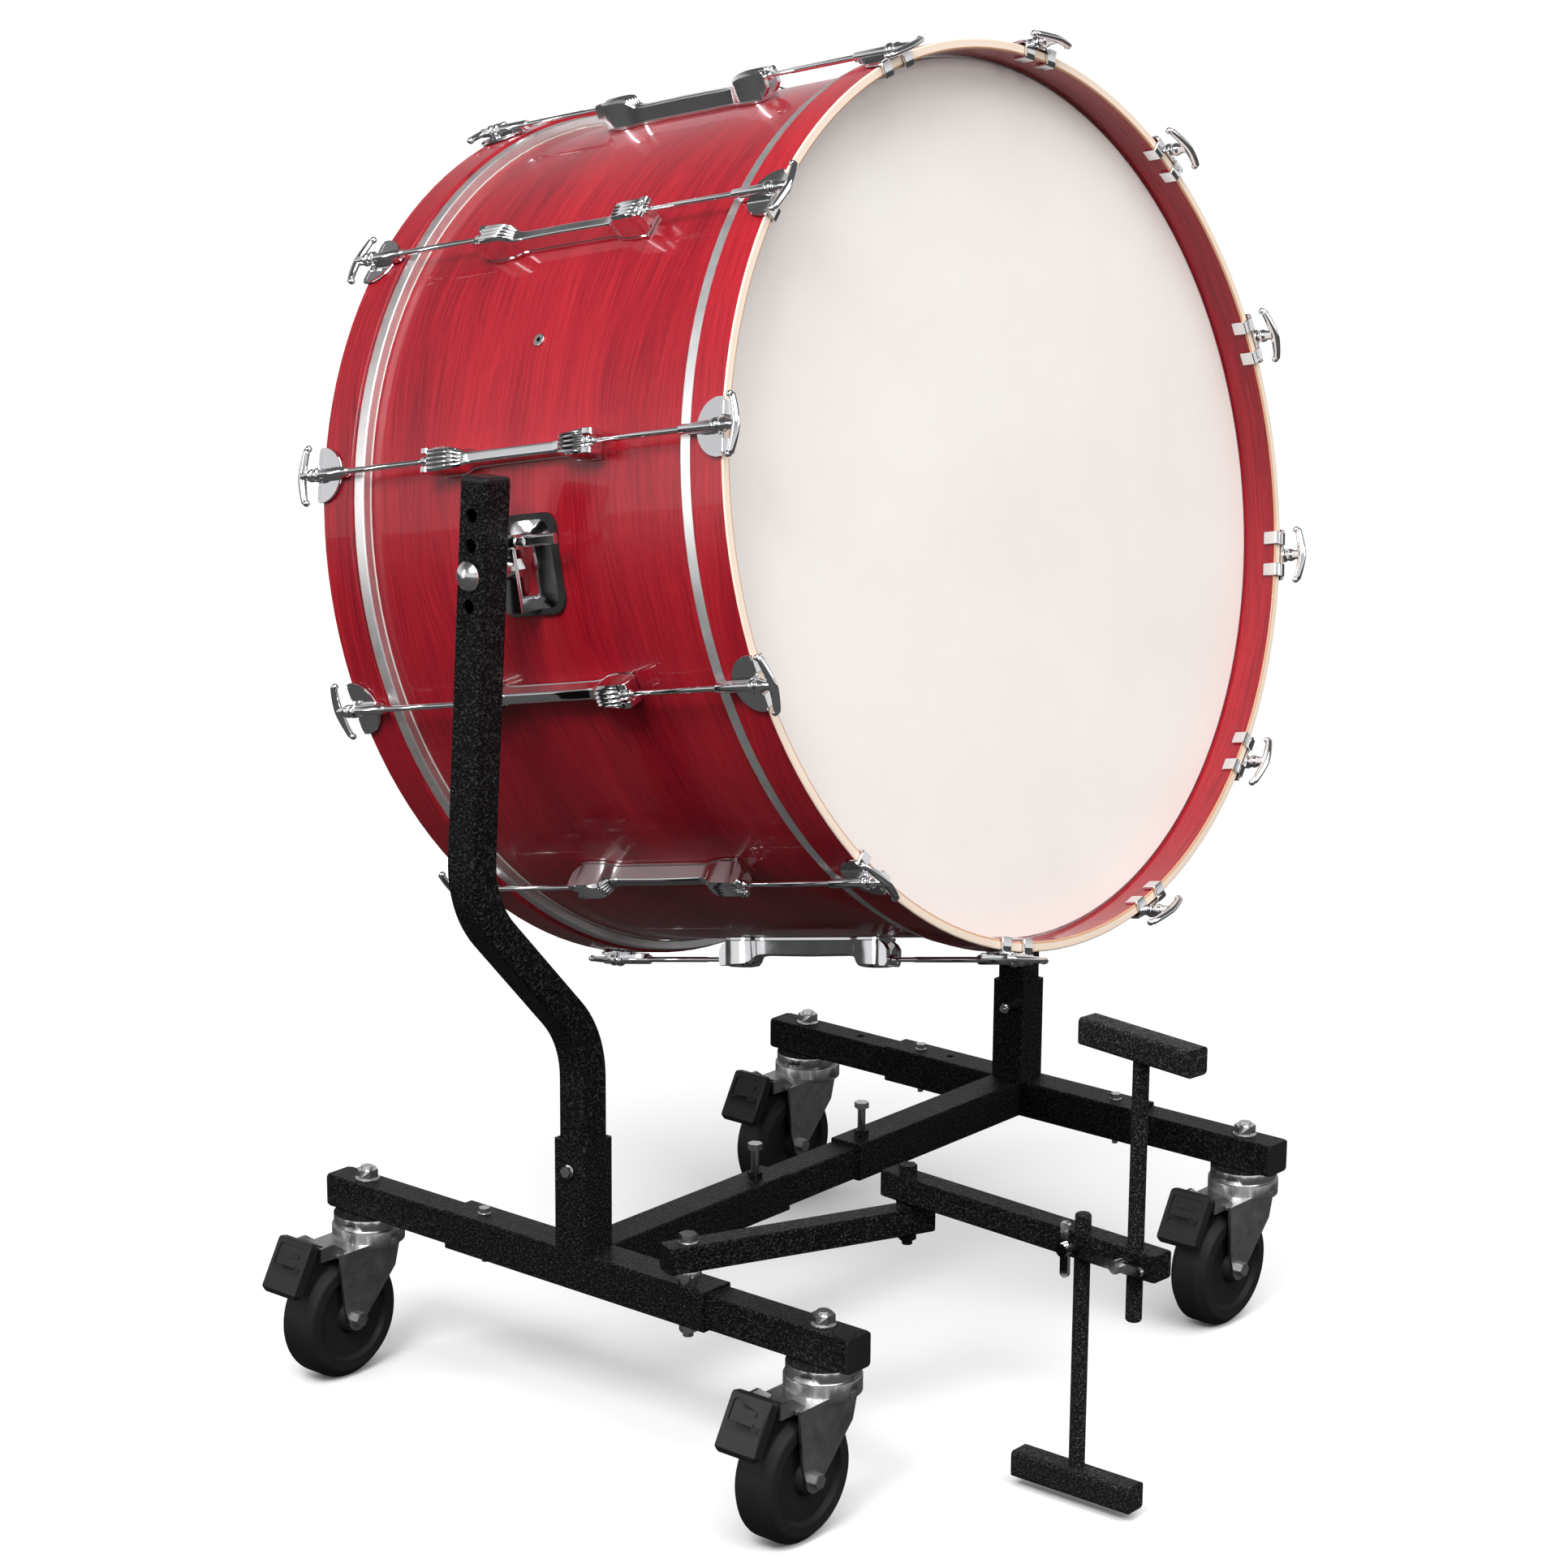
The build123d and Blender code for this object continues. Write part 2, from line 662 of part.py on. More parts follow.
def make_arm_two():
    """The second arm holds both rest rods in cross holes near its end."""
    axis_z = arm_two_z + arm_size / 2
    with BuildPart() as arm:
        tube = Plane(origin=arm_two_point(-arm_tail, axis_z), x_dir=(0, 0, 1), z_dir=arm_two_run)
        square_tube(tube, arm_size, arm_wall, arm_two_length + arm_tail)
        square_block(tube.offset(-2), arm_size, 10, 3)
        square_block(tube.offset(arm_two_length + arm_tail + 2), arm_size, -10, 3)
        for reach in (low_rod_reach, high_rod_reach):
            face = Plane(
                origin=arm_two_point(reach, axis_z) + arm_two_side * (arm_size / 2),
                x_dir=(0, 0, 1),
                z_dir=arm_two_side,
            )
            hex_prism(face, 13, 5)
            drill(face.offset(-4), 4.1, 12)
            drill(Plane(arm_two_point(reach, arm_two_z - 2)), rest_rod_radius + running, arm_size + 4)
        drill(at(*arm_b, arm_two_z - 2), arm_bolt_radius + running, arm_size + 4)
    return arm.part


def make_rest_screws():
    """Wing screws that clamp the rest rods: one stands upright, the other lies along the arm."""
    axis_z = arm_two_z + arm_size / 2
    with BuildPart() as screws:
        for reach, along in ((low_rod_reach, Vector(0, 0, 1)), (high_rod_reach, arm_two_run)):
            middle = arm_two_point(reach, axis_z)
            tip_at = middle + arm_two_side * (rest_rod_radius + 0.2)
            tip = Plane(origin=tip_at, x_dir=along, z_dir=arm_two_side)
            disc(tip, 4, 22)
            disc(tip.offset(13), 6.5, 10)
            with BuildSketch(tip.offset(15)):
                SlotOverall(54, 9)
            extrude(amount=4)
    return screws.part


def make_rest(reach, pad_bottom, pad_turn, rod_top, rod_bottom):
    """A rest: a straight rod that slides in the arm and a padded square bar across its end."""
    foot = arm_two_point(reach, 0)
    pad_middle = foot + Vector(0, 0, pad_bottom + arm_size / 2)
    run = Vector(-sin(radians(pad_turn)), -cos(radians(pad_turn)), 0)
    with BuildPart() as rest:
        bar = Plane(origin=pad_middle - run * (rest_pad_length / 2), x_dir=(0, 0, 1), z_dir=run)
        square_block(bar, arm_size, rest_pad_length, 4)
        disc(Plane(foot + Vector(0, 0, rod_bottom)), rest_rod_radius, rod_top - rod_bottom)
        ends = rest.edges().filter_by(GeomType.CIRCLE)
        ends = ends.filter_by(lambda edge: abs(edge.radius - rest_rod_radius) < 0.01)
        free = ends.sort_by(Axis.Z)[-1] if rod_top > pad_bottom + 2 * arm_size else ends.sort_by(Axis.Z)[0]
        fillet(free, 3)
    return rest.part


# ---------------------------------------------------------------- casters
def make_fork(side, end):
    """A caster's swivelling fork, with its race, axle and brake pin. The wheel trails to -X."""
    x = side * rail_x
    y = end * caster_y
    race_top = leg_bottom - 11.7 - gap
    crown_top = 134.0
    crown = 4.0
    wide = fork_gap + 2 * fork_plate
    with BuildPart() as fork:
        disc(at(x, y, crown_top), race_radius, race_top - crown_top)
        with BuildSketch(at(x, y, crown_top - crown)):
            with Locations((-20, 0)):
                RectangleRounded(92, wide, 14)
            Circle(race_radius)
        extrude(amount=crown)
        for plate in (-1, 1):
            inner = at(x, y + plate * fork_gap / 2, 0, normal=(0, -1, 0))
            with BuildSketch(inner):
                with BuildLine():
                    Polyline(
                        (18, crown_top),
                        (-64, crown_top),
                        (-trail - 17, wheel_radius + 14),
                        (-trail - 12, wheel_radius),
                    )
                    ThreePointArc(
                        (-trail - 12, wheel_radius), (-trail, wheel_radius - 12), (-trail + 12, wheel_radius)
                    )
                    Polyline((-trail + 12, wheel_radius), (10, 104), (18, crown_top))
                make_face()
            extrude(amount=-plate * fork_plate)
        axle = at(x - trail, y - wide / 2, wheel_radius, normal=(0, 1, 0))
        disc(axle, axle_radius, wide)
        hex_prism(axle, 13, -6)
        hex_prism(axle.offset(wide), 13, 6)
        # Ears behind the crown hold the brake pedal's pin.
        for ear in (-1, 1):
            with BuildSketch(at(x, y + ear * 18, 0, normal=(0, -1, 0))):
                with BuildLine():
                    Polyline(
                        (-50, crown_top - 4), (-50, crown_top), (-66, 145), (-84, 145), (-84, 131), close=True
                    )
                make_face()
            extrude(amount=-ear * 3)
        disc(at(x - 77, y - 21, 138, normal=(0, 1, 0)), 3, 42)
        drill(at(x, y, 100), king_pin + running, 60)
        window = at(x, y - race_radius - 1, crown_top + 3.2, normal=(0, 1, 0))
        with BuildSketch(window):
            with Locations((0, 2.5)):
                Rectangle(9, 6)
        extrude(amount=6, mode=Mode.SUBTRACT)
    return fork.part


def make_wheel(side, end):
    """A solid rubber wheel with a dished hub."""
    x = side * rail_x - trail
    half = wheel_width / 2
    with BuildPart() as wheel:
        with BuildSketch(at(x, end * caster_y, wheel_radius, normal=(1, 0, 0), across=(0, 1, 0))) as profile:
            with BuildLine():
                Polyline(
                    (-half - 2.6, 0),
                    (half + 2.6, 0),
                    (half + 2.6, 14),
                    (half - 5, 17),
                    (half - 5, 41),
                    (half, 44),
                    (half, wheel_radius - 8),
                    (half - 8, wheel_radius),
                    (-half + 8, wheel_radius),
                    (-half, wheel_radius - 8),
                    (-half, 44),
                    (-half + 5, 41),
                    (-half + 5, 17),
                    (-half - 2.6, 14),
                    close=True,
                )
            make_face()
            fillet(profile.vertices().sort_by(Axis.Y)[-4:], 5)
        revolve(axis=Axis((x, pivot_y + end * caster_y, wheel_radius), (0, 1, 0)))
        bore = at(x, end * caster_y - 40, wheel_radius, normal=(0, 1, 0))
        drill(bore, axle_radius + running, 80)
    return wheel.part


def make_pedal(side, end):
    """The brake pedal: a wide paddle with a ribbed grip, on a short neck that turns on the fork's pin."""
    x = side * rail_x
    y = end * caster_y
    wide = 46.0
    pin_x = x - 77
    pin_z = 138.0
    grip = at(x - 109.5, y, 130.5, normal=(-0.874, 0, 0.4855), across=(0, 1, 0))
    with BuildPart() as pedal:
        with BuildSketch(at(x, y - wide / 2, 0, normal=(0, -1, 0))) as profile:
            with BuildLine():
                Polyline(
                    (-88, 147), (-91, 153), (-97, 153), (-122, 108), (-120, 102), (-113, 104), close=True
                )
            make_face()
            fillet(profile.vertices(), 1.5)
        extrude(amount=-wide)
        with BuildSketch(grip):
            with Locations((0, 0.7)):
                RectangleRounded(wide, 59, 7)
        extrude(amount=30, both=True, mode=Mode.INTERSECT)
        with BuildSketch(grip):
            RectangleRounded(wide - 9, 41, 4)
        extrude(amount=-1.3, mode=Mode.SUBTRACT)
        with BuildSketch(grip.offset(-1.6)):
            with GridLocations(0, 11, 1, 3):
                RectangleRounded(20, 5, 2)
        extrude(amount=1.3)
        disc(at(pin_x, y - 17, pin_z, normal=(0, 1, 0)), 6.2, 34)
        with BuildSketch(at(x, y - 16, 0, normal=(0, -1, 0))):
            with BuildLine():
                Polyline((-77, 143.5), (-90, 146), (-97, 130), (-81, 133), close=True)
            make_face()
        extrude(amount=-32)
        pin = at(pin_x, y - 30, pin_z, normal=(0, 1, 0))
        drill(pin, 3 + running, 60)
        for start in (17.0, -21.4):
            disc(pin.offset(30 + start), 9.5, 4.4, Mode.SUBTRACT)
    return pedal.part


# ---------------------------------------------------------------- build every piece
os.makedirs("parts", exist_ok=True)

save(make_shell(), "shell")
save(make_hoop(1), "front_hoop")
save(make_hoop(-1), "back_hoop")
save(make_head(1), "front_head")
save(make_head(-1), "back_head")
save(make_flesh_hoops(), "flesh_hoops")
save(make_ring_of(make_lug(), [front_place(angle) for angle in lug_angles]), "lug_casings")

both_ends = [place(angle) for angle in lug_angles for place in (front_place, back_place)]
save(make_ring_of(make_swivel_nut(), both_ends), "swivel_nuts")
save(make_ring_of(make_claw(), both_ends), "claw_hooks")
save(make_brackets(), "pivot_brackets")
save(make_vent(), "vent_eyelet")

rod_shape = make_rod()
for number, angle in enumerate(lug_angles, start=1):
    save(make_ring_of(rod_shape, [front_place(angle)]), f"rod_front_{number:02d}")
    save(make_ring_of(rod_shape, [back_place(angle)]), f"rod_back_{number:02d}")

for side, word in ((-1, "left"), (1, "right")):
    save(make_base_frame(side), f"{word}_base_frame")
    save(make_upright(side), f"{word}_upright")
save(make_cross_tube(), "cross_tube")
save(make_legs(), "caster_legs")
save(make_end_caps(), "end_caps")
save(make_bolts(), "frame_bolts")

save(make_arm_one(), "rest_arm_inner")
save(make_arm_two(), "rest_arm_outer")
save(make_rest_screws(), "rest_clamp_screws")
low_rod_top = low_pad_z + arm_size - 1 + rest_rod_length - 4
save(make_rest(low_rod_reach, low_pad_z, 0, low_rod_top, low_pad_z + arm_size - 1), "low_rest")
high_rod_bottom = high_pad_z + 1 - rest_rod_length + 4
save(make_rest(high_rod_reach, high_pad_z, high_pad_turn, high_pad_z + 1, high_rod_bottom), "high_rest")

for side, word in ((-1, "left"), (1, "right")):
    for end, place in ((-1, "front"), (1, "back")):
        save(make_fork(side, end), f"caster_fork_{word}_{place}")
        save(make_wheel(side, end), f"caster_wheel_{word}_{place}")
        save(make_pedal(side, end), f"brake_pedal_{word}_{place}")
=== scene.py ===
"""Looks of a concert bass drum on its tilting, wheeled stand."""

import json
import math

import bmesh
import bpy
from mathutils import Matrix, Vector


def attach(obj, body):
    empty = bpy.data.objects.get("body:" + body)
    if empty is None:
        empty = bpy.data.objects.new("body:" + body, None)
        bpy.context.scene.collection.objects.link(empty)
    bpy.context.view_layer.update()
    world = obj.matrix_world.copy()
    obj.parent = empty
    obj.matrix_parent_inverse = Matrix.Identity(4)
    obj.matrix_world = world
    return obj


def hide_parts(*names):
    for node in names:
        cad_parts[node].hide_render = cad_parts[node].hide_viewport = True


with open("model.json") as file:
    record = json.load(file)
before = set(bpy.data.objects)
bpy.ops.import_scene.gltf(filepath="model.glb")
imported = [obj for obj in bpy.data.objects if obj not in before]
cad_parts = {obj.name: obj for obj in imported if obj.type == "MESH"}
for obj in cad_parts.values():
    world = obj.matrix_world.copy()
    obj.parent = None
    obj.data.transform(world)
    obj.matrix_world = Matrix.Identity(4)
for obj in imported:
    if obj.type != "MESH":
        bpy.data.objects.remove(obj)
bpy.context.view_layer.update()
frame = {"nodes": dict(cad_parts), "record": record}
nodes = frame["nodes"]
record = frame["record"]

# ---------------------------------------------------------------- the drum's own axes and sizes
tilt = math.radians(11.0)
axis_drop = 0.0088              # drum axis below the tilt axis
veneer_radius = 0.41            # turns an angle into a distance round the shell
hoop_edge = 0.2470              # bare wood starts here, measured along the axis
ply_radius = 0.4124             # dark ply inside this radius
black_foot_reach = 0.40905          # black below this distance from the middle, chrome beyond
joint_at = {joint["name"]: joint for joint in record["behaviour"]["joints"]}
pivot = Vector(joint_at["drum_tilt"]["pos_m"])
drum_up = Vector((0, math.sin(tilt), math.cos(tilt)))
drum_out = Vector((0, -math.cos(tilt), math.sin(tilt)))
drum_centre = pivot - drum_up * axis_drop


# ---------------------------------------------------------------- node helpers
# Sockets of a colour Mix node, which has a set for each data type.
mix_a = 6
mix_b = 7
mix_result = 2


class Nodes:
    """A material under construction, with short calls for its nodes."""

    def __init__(self, name):
        self.material = bpy.data.materials.new(name)
        self.material.use_nodes = True
        self.tree = self.material.node_tree
        self.shader = self.tree.nodes["Principled BSDF"]

    def link(self, source, target):
        self.tree.links.new(source, target)

    def feed(self, socket, value):
        if isinstance(value, bpy.types.NodeSocket):
            self.link(value, socket)
        elif value is not None:
            socket.default_value = value

    def coords(self):
        return self.tree.nodes.new("ShaderNodeTexCoord").outputs["Object"]

    def math(self, operation, a, b=None):
        node = self.tree.nodes.new("ShaderNodeMath")
        node.operation = operation
        self.feed(node.inputs[0], a)
        self.feed(node.inputs[1], b)
        return node.outputs[0]

    def vector(self, operation, a, b):
        node = self.tree.nodes.new("ShaderNodeVectorMath")
        node.operation = operation
        self.feed(node.inputs[0], a)
        self.feed(node.inputs[1], b)
        return node.outputs["Value" if operation == "DOT_PRODUCT" else "Vector"]

    def combine(self, x, y, z):
        node = self.tree.nodes.new("ShaderNodeCombineXYZ")
        for socket, value in zip(node.inputs, (x, y, z)):
            self.feed(socket, value)
        return node.outputs[0]

    def noise(self, vector, scale, detail, rough):
        node = self.tree.nodes.new("ShaderNodeTexNoise")
        self.feed(node.inputs["Vector"], vector)
        node.inputs["Scale"].default_value = scale
        node.inputs["Detail"].default_value = detail
        node.inputs["Roughness"].default_value = rough
        return node.outputs["Fac"]

    def cells(self, vector, scale):
        node = self.tree.nodes.new("ShaderNodeTexVoronoi")
        self.feed(node.inputs["Vector"], vector)
        node.inputs["Scale"].default_value = scale
        return node.outputs["Distance"]

    def ramp(self, value, stops):
        node = self.tree.nodes.new("ShaderNodeValToRGB")
        elements = node.color_ramp.elements
        while len(elements) < len(stops):
            elements.new(0.5)
        for element, (place, colour) in zip(elements, stops):
            element.position = place
            if isinstance(colour, (int, float)):
                colour = (colour, colour, colour)
            element.color = (*colour, 1)
        self.link(value, node.inputs[0])
        return node.outputs["Color"]

    def mix(self, factor, a, b):
        node = self.tree.nodes.new("ShaderNodeMix")
        node.data_type = "RGBA"
        self.feed(node.inputs["Factor"], factor)
        self.feed(node.inputs[mix_a], (*a, 1) if isinstance(a, tuple) else a)
        self.feed(node.inputs[mix_b], (*b, 1) if isinstance(b, tuple) else b)
        return node.outputs[mix_result]

    def bump(self, height, strength, distance):
        node = self.tree.nodes.new("ShaderNodeBump")
        node.inputs["Strength"].default_value = strength
        node.inputs["Distance"].default_value = distance
        self.link(height, node.inputs["Height"])
        return node.outputs["Normal"]

    def finish(self, **sockets):
        for name, value in sockets.items():
            socket = self.shader.inputs[name.replace("_", " ")]
            if isinstance(value, tuple) and len(value) == 3:
                value = (*value, 1)
            self.feed(socket, value)
        return self.material


def drum_coordinates(n):
    """Distance along the drum's axis and radius in metres, and the angle round it from the top."""
    place = n.vector("SUBTRACT", n.coords(), tuple(drum_centre))
    across = n.vector("DOT_PRODUCT", place, (1, 0, 0))
    up = n.vector("DOT_PRODUCT", place, tuple(drum_up))
    along = n.vector("DOT_PRODUCT", place, tuple(drum_out))
    radius = n.math("SQRT", n.math("ADD", n.math("MULTIPLY", across, across), n.math("MULTIPLY", up, up)))
    angle = n.math("ARCTAN2", across, up)
    return along, angle, radius


def red_wood(name, offset):
    """Cherry-red gloss lacquer on veneer whose grain runs round the drum."""
    n = Nodes(name)
    along, angle, radius = drum_coordinates(n)
    round_way = n.math("MULTIPLY", angle, veneer_radius)

    def figure(across, round_stretch, across_stretch, *look):
        """Noise drawn out round the drum. look is its scale, detail and roughness."""
        x = n.math("MULTIPLY", round_way, round_stretch)
        y = n.math("MULTIPLY", across, across_stretch)
        return n.noise(n.combine(x, y, offset), *look)

    drift = figure(along, 1, 3, 1.7, 3, 0.5)
    bent = n.math("ADD", along, n.math("MULTIPLY", n.math("SUBTRACT", drift, 0.5), 0.09))
    band = figure(bent, 0.8, 9, 1.6, 4, 0.60)
    rings = n.math("SINE", n.math("MULTIPLY", n.math("ADD", bent, n.math("MULTIPLY", drift, 0.10)), 620))
    streak = figure(bent, 4, 260, 2.4, 5, 0.62)
    pore = figure(bent, 26, 1100, 1.5, 2, 0.5)
    tone = n.math("ADD", n.math("MULTIPLY", band, 0.45), n.math("MULTIPLY", streak, 0.50))
    tone = n.math("ADD", tone, n.math("MULTIPLY", rings, 0.012))
    colour = n.ramp(
        tone,
        [
            (0.35, (0.185, 0.002, 0.009)),
            (0.44, (0.295, 0.005, 0.015)),
            (0.52, (0.375, 0.009, 0.019)),
            (0.62, (0.450, 0.014, 0.025)),
        ],
    )
    dark = n.ramp(pore, [(0.31, 1.0), (0.41, 0.0)])
    colour = n.mix(n.math("MULTIPLY", dark, 0.60), colour, (0.085, 0.003, 0.007))
    wave = n.noise(n.coords(), 9, 1, 0.4)
    coat = n.bump(wave, 0.06, 0.01)
    n.link(coat, n.shader.inputs["Coat Normal"])
    grain = n.bump(streak, 0.05, 0.0006)
    n.finish(Roughness=0.34, Specular_IOR_Level=0.25, Coat_Weight=0.45, Coat_Roughness=0.035, Normal=grain)
    return n, colour, along, radius


def shell_material():
    """The shell's lacquer, all over."""
    n, colour, _, _ = red_wood("red_lacquer_shell", 0.0)
    return n.finish(Base_Color=colour)


def hoop_material(name, offset):
    """The hoop's lacquer, with its outer edge left as bare maple and a tan inner ply."""
    n, colour, along, radius = red_wood(name, offset)
    depth = n.math("ABSOLUTE", along)
    edge = n.math("GREATER_THAN", depth, hoop_edge)
    speckled = n.combine(n.math("MULTIPLY", radius, 60), n.math("MULTIPLY", along, 4), offset)
    speck = n.noise(speckled, 30, 3, 0.6)
    maple = n.ramp(speck, [(0.3, (0.78, 0.62, 0.48)), (0.7, (0.90, 0.76, 0.64))])
    ply = n.math("LESS_THAN", radius, ply_radius)
    maple = n.mix(n.math("MULTIPLY", ply, 0.8), maple, (0.50, 0.22, 0.08))
    return n.finish(Base_Color=n.mix(edge, colour, maple))


def head_material():
    """Coated film: warm white with a fine sprayed tooth and a slightly worn middle."""
    n = Nodes("head_film_coated")
    _, _, radius = drum_coordinates(n)
    cloud = n.noise(n.coords(), 5, 4, 0.6)
    fine = n.noise(n.coords(), 420, 3, 0.6)
    colour = n.ramp(cloud, [(0.3, (0.835, 0.790, 0.745)), (0.7, (0.880, 0.842, 0.800))])
    worn = n.ramp(n.math("ADD", radius, n.math("MULTIPLY", cloud, 0.05)), [(0.06, 1.0), (0.15, 0.0)])
    colour = n.mix(n.math("MULTIPLY", worn, 0.10), colour, (0.62, 0.58, 0.53))
    colour = n.mix(n.math("MULTIPLY", fine, 0.10), colour, (0.70, 0.66, 0.62))
    rough = n.ramp(cloud, [(0.2, 0.50), (0.8, 0.60)])
    bump = n.bump(fine, 0.22, 0.0004)
    return n.finish(Base_Color=colour, Roughness=rough, Normal=bump)


def metal(name, colour, low, high, scale, spots, bump_scale=60.0, bump=0.02, tint=None):
    """Plated or bare metal, its polish varying a little between low and high roughness."""
    n = Nodes(name)
    place = n.coords()
    patch = n.noise(place, scale, 4, 0.6)
    base = n.ramp(patch, [(0.30, tuple(c * 0.90 for c in colour)), (0.70, colour)])
    if tint:
        stain = n.ramp(n.noise(place, scale * 2.3, 3, 0.6), [(0.45, 0.0), (0.7, 0.5)])
        base = n.mix(stain, base, tint)
    pits = n.ramp(n.noise(place, 700, 2, 0.5), [(0.28, 1.0), (0.36, 0.0)])
    base = n.mix(n.math("MULTIPLY", pits, spots), base, (0.12, 0.11, 0.10))
    rough = n.ramp(n.noise(place, scale * 3, 4, 0.65), [(0.25, low), (0.75, high)])
    normal = n.bump(n.noise(place, bump_scale, 2, 0.5), bump, 0.002)
    return n.finish(Base_Color=base, Metallic=1.0, Roughness=rough, Normal=normal)


def bracket_material():
    """Pivot bracket: chrome over a fine as-cast tooth, black and unplated at its foot against the shell.
    """
    n = Nodes("bracket_chrome")
    place = n.coords()
    beyond = n.math("ABSOLUTE", n.vector("DOT_PRODUCT", place, (1, 0, 0)))
    metal_part = n.math("GREATER_THAN", beyond, black_foot_reach)
    grit = n.noise(place, 620, 4, 0.65)
    patch = n.noise(place, 30, 3, 0.6)
    plated = n.ramp(grit, [(0.30, (0.74, 0.74, 0.755)), (0.62, (0.92, 0.92, 0.93))])
    # Black, unplated and rough near the shell, where the bracket meets it; chrome beyond.
    black_foot = n.ramp(grit, [(0.30, (0.008, 0.008, 0.009)), (0.70, (0.022, 0.022, 0.023))])
    polish = n.ramp(patch, [(0.3, 0.07), (0.7, 0.15)])
    rough = n.mix(metal_part, (0.55, 0.55, 0.55), polish)
    normal = n.bump(grit, 0.10, 0.0005)
    colour = n.mix(metal_part, black_foot, plated)
    return n.finish(Base_Color=colour, Metallic=metal_part, Roughness=rough, Normal=normal)


def powder_coat(name, grain, base, speckle, rough):
    """Black stove-baked coat with a hammered tooth, and painted highlights: small lighter specks in its
    colour stand in for the glints the tooth catches.
    """
    n = Nodes(name)
    place = n.coords()
    cell = n.cells(place, grain)
    small = n.noise(place, grain * 2.5, 3, 0.6)
    height = n.math("ADD", cell, n.math("MULTIPLY", small, 0.6))
    # Painted highlight: lighter specks mixed into the colour stand in for glints off the hammered tooth.
    painted_glint = n.ramp(n.noise(place, grain * 0.9, 2, 0.6), [(0.52, 0.0), (0.66, 1.0)])
    dust = n.noise(place, 7, 4, 0.6)
    colour = n.mix(n.math("MULTIPLY", painted_glint, speckle), base, (0.16, 0.16, 0.17))
    colour = n.mix(n.math("MULTIPLY", dust, 0.03), colour, (0.05, 0.05, 0.055))
    gloss = n.ramp(dust, [(0.3, rough - 0.03), (0.7, rough + 0.04)])
    tooth = n.bump(height, 1.0, 0.0016)
    return n.finish(Base_Color=colour, Roughness=gloss, Normal=tooth, Specular_IOR_Level=0.09)


def plastic(name, base, grain, rough, dusty=0.10):
    """Moulded black plastic or rubber with a fine grain and a little dust."""
    n = Nodes(name)
    place = n.coords()
    dust = n.noise(place, 12, 4, 0.6)
    colour = n.mix(n.math("MULTIPLY", dust, dusty), base, (0.10, 0.097, 0.094))
    normal = n.bump(n.noise(place, grain, 3, 0.6), 0.25, 0.0006)
    gloss = n.ramp(dust, [(0.3, rough - 0.05), (0.7, rough + 0.08)])
    return n.finish(Base_Color=colour, Roughness=gloss, Normal=normal, Specular_IOR_Level=0.22)


chrome = metal(
    "chrome_plate", (0.90, 0.90, 0.915), low=0.035, high=0.10,
    scale=9, spots=0.10, bump_scale=22, bump=0.03,
)
bolt_zinc = metal(
    "bright_bolt_zinc", (0.84, 0.84, 0.83), low=0.14, high=0.26,
    scale=30, spots=0.15, bump_scale=200,
)
bright_zinc = metal(
    "zinc_plate", (0.56, 0.56, 0.565), low=0.24, high=0.40,
    scale=26, spots=0.45, bump_scale=700, bump=0.10, tint=(0.42, 0.41, 0.40),
)
aluminium = metal(
    "flesh_hoop_aluminium", (0.97, 0.97, 0.96), low=0.40, high=0.52,
    scale=18, spots=0.05, bump_scale=160, bump=0.05,
)
brass = metal("turned_brass", (0.78, 0.60, 0.30), low=0.2, high=0.34, scale=20, spots=0.1)
stand_coat = powder_coat(
    "stand_hammered_black", grain=480, base=(0.0022, 0.0022, 0.0025), speckle=0.24, rough=0.34,
)
rest_coat = powder_coat(
    "rest_rough_black", grain=620, base=(0.008, 0.008, 0.009), speckle=0.55, rough=0.40,
)
cap_plastic = plastic("cap_black_plastic", (0.008, 0.008, 0.009), 500, 0.42)
pedal_plastic = plastic("pedal_black_plastic", (0.009, 0.009, 0.010), 350, 0.36)
rubber = plastic("wheel_black_rubber", (0.007, 0.007, 0.0075), 260, 0.50, 0.14)


def paint(material, *names):
    """Gives the named CAD nodes one material."""
    for name in names:
        for owner in nodes:
            if owner == name or owner.startswith(name + "*"):
                mesh = nodes[owner].data
                mesh.materials.clear()
                mesh.materials.append(material)


def paint_all(material, prefix):
    """Gives every CAD node whose name starts with the prefix one material."""
    for name, obj in nodes.items():
        if name.startswith(prefix):
            obj.data.materials.clear()
            obj.data.materials.append(material)


paint(shell_material(), "shell")
paint(hoop_material("red_lacquer_front_hoop", 3.7), "front_hoop")
paint(hoop_material("red_lacquer_back_hoop", 8.1), "back_hoop")
paint(head_material(), "front_head", "back_head")
paint(aluminium, "flesh_hoops")
paint(brass, "swivel_nuts")
paint(chrome, "lug_casings", "claw_hooks", "vent_eyelet", "rest_clamp_screws")
paint(bracket_material(), "pivot_brackets")
paint_all(chrome, "rod_")
for name in ("left_base_frame", "right_base_frame", "left_upright", "right_upright", "cross_tube"):
    paint(stand_coat, name)
paint(stand_coat, "caster_legs", "rest_arm_inner", "rest_arm_outer")
paint(rest_coat, "low_rest", "high_rest")
paint(cap_plastic, "end_caps")
paint(bolt_zinc, "frame_bolts")
paint_all(bright_zinc, "caster_fork")
paint_all(rubber, "caster_wheel")
paint_all(pedal_plastic, "brake_pedal")


# ---------------------------------------------------------------- mesh helpers
def new_piece(name, material):
    """An empty mesh object; its faces are filled in by the caller."""
    mesh = bpy.data.meshes.new(name)
    piece = bpy.data.objects.new(name, mesh)
    bpy.context.collection.objects.link(piece)
    mesh.materials.append(material)
    return piece


def loft(bm, rings):
    """Skins a list of closed rings of points, each of the same length, and caps both ends."""
    rows = [[bm.verts.new(point) for point in ring] for ring in rings]
    count = len(rows[0])
    for first, second in zip(rows, rows[1:]):
        for i in range(count):
            j = (i + 1) % count
            bm.faces.new((first[i], first[j], second[j], second[i]))
    bm.faces.new(list(reversed(rows[0])))
    bm.faces.new(rows[-1])


